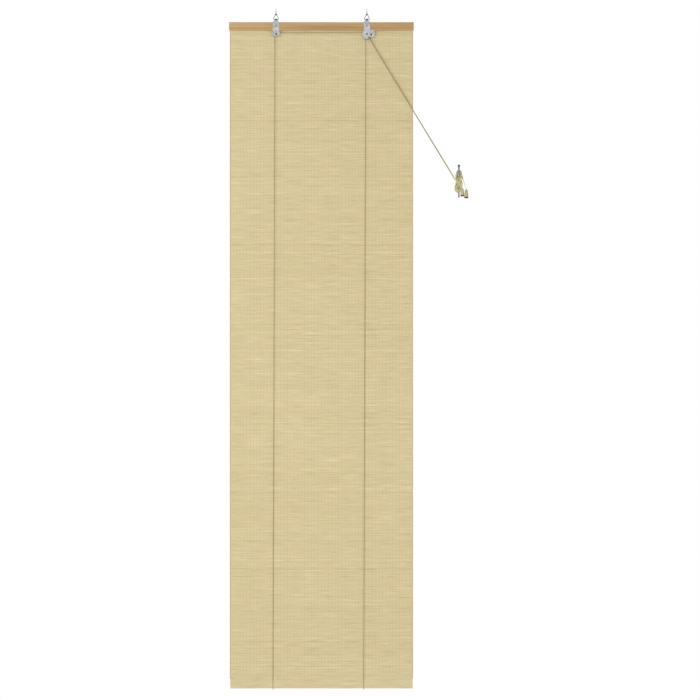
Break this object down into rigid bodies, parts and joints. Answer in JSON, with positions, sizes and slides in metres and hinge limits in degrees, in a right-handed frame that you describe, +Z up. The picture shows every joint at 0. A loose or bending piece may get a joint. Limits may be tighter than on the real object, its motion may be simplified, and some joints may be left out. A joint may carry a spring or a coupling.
{
  "type": "roller blind",
  "caption": "Roll-up bamboo blind with a wooden head rail, ceiling hooks, cord lock, lift cords, two wooden tassels and a metal wall cleat.",
  "frame": {"origin": "on the ceiling plane, midway between the two screw hooks", "axes": "+Z up, +X to the viewer's right along the head rail, +Y away from the viewer towards the window"},
  "size_m": [0.7886, 0.0731, 2.251],
  "materials": {
    "rail_wood": "satin lacquered",
    "bamboo": "bare split bamboo, woven",
    "binding": "overlocked cotton thread",
    "zinc": "zinc plated",
    "dark_steel": "dark plated wire",
    "nylon": "moulded",
    "cord": "braided cord",
    "tassel_wood": "turned, clear lacquer"
  },
  "bodies": {
    "root": {"left_hook": "dark_steel", "right_hook": "dark_steel", "cleat": "zinc", "cleat_screw_upper": "zinc", "cleat_screw_lower": "zinc", "cord_hank": "cord", "draw_cord_a": "cord", "draw_cord_b": "cord"},
    "blind": {"left_ring": "zinc", "right_ring": "zinc", "head_rail": "rail_wood", "curtain": "bamboo", "left_edge_binding": "binding", "right_edge_binding": "binding", "rail_staple_1": "zinc", "rail_staple_2": "zinc", "rail_staple_3": "zinc", "rail_staple_4": "zinc", "rail_staple_5": "zinc", "left_bracket": "zinc", "right_bracket": "zinc", "left_pulley_pin": "zinc", "guide_pulley_pin": "zinc", "left_bracket_screw": "zinc", "right_bracket_screw": "zinc", "lift_cord_run": "cord", "lift_cord_turn": "cord", "left_front_leg": "cord", "right_front_leg": "cord", "left_back_leg": "cord", "right_back_leg": "cord", "left_end_knot": "cord", "right_end_knot": "cord", "left_anchor_staple": "zinc", "right_anchor_staple": "zinc"},
    "left_sheave": {"left_pulley": "nylon"},
    "guide_sheave": {"guide_pulley": "nylon"},
    "lock_carriage": {"lock_pin": "zinc"},
    "lock_wheel": {"lock_roller": "zinc"},
    "hem": {"hem_front": "bamboo", "left_sling": "cord", "right_sling": "cord"},
    "roll_back": {"hem_back": "bamboo"},
    "core_carrier": {"core_sleeve": "binding"},
    "roll_core": {"core_rod": "tassel_wood"},
    "tassel_a": {"tail_cord_a": "cord", "tassel_a": "tassel_wood"},
    "tassel_b": {"tail_cord_b": "cord", "tassel_b": "tassel_wood"}
  },
  "joints": [
    {"name": "blind_swing", "type": "hinge", "parent": "root", "child": "blind", "pos_m": [0, 0, -0.0103], "axis": [1, 0, 0], "range_deg": [-8, 4], "deforming": ["draw_cord_a", "draw_cord_b"]},
    {"name": "lift", "type": "slide", "parent": "blind", "child": "hem", "axis": [0, 0, 1], "range_m": [0, 2.03], "deforming": ["curtain", "left_edge_binding", "right_edge_binding", "left_front_leg", "right_front_leg", "left_back_leg", "right_back_leg", "left_sling", "right_sling"]},
    {"name": "roll_growth", "type": "slide", "parent": "hem", "child": "roll_back", "axis": [0, 1, 0], "range_m": [0, 0.056]},
    {"name": "core_shift", "type": "slide", "parent": "hem", "child": "core_carrier", "axis": [0, 1, 0], "range_m": [0, 0.028]},
    {"name": "roll_turn", "type": "hinge", "parent": "core_carrier", "child": "roll_core", "pos_m": [0, 0.0054, -2.2035], "axis": [1, 0, 0], "range_deg": [0, 6480]},
    {"name": "left_pulley_turn", "type": "hinge", "parent": "blind", "child": "left_sheave", "pos_m": [-0.1488, -0.0075, -0.076], "axis": [0, 1, 0], "continuous": true},
    {"name": "guide_pulley_turn", "type": "hinge", "parent": "blind", "child": "guide_sheave", "pos_m": [0.15, -0.0075, -0.0753], "axis": [0, 1, 0], "continuous": true},
    {"name": "cord_lock", "type": "slide", "parent": "blind", "child": "lock_carriage", "axis": [0.6, 0, 0.8], "range_m": [0, 0.004]},
    {"name": "lock_roller_turn", "type": "hinge", "parent": "lock_carriage", "child": "lock_wheel", "pos_m": [0.164, -0.0075, -0.0781], "axis": [0, 1, 0], "continuous": true},
    {"name": "tassel_a_swing", "type": "hinge", "parent": "root", "child": "tassel_a", "pos_m": [0.463, -0.012, -0.555], "axis": [-1, 0, 0], "range_deg": [0, 60]},
    {"name": "tassel_b_swing", "type": "hinge", "parent": "root", "child": "tassel_b", "pos_m": [0.4664, -0.0085, -0.551], "axis": [-1, 0, 0], "range_deg": [0, 60]}
  ],
  "couplings": [
    {"joint": "roll_growth", "follows": "lift", "ratio": 0.027586},
    {"joint": "core_shift", "follows": "lift", "ratio": 0.013793},
    {"joint": "roll_turn", "follows": "lift", "rad_per_m": 55.71},
    {"joint": "left_pulley_turn", "follows": "lift", "rad_per_m": 425.53},
    {"joint": "guide_pulley_turn", "follows": "lift", "rad_per_m": 500},
    {"joint": "lock_roller_turn", "follows": "lift", "rad_per_m": -243.9}
  ]
}
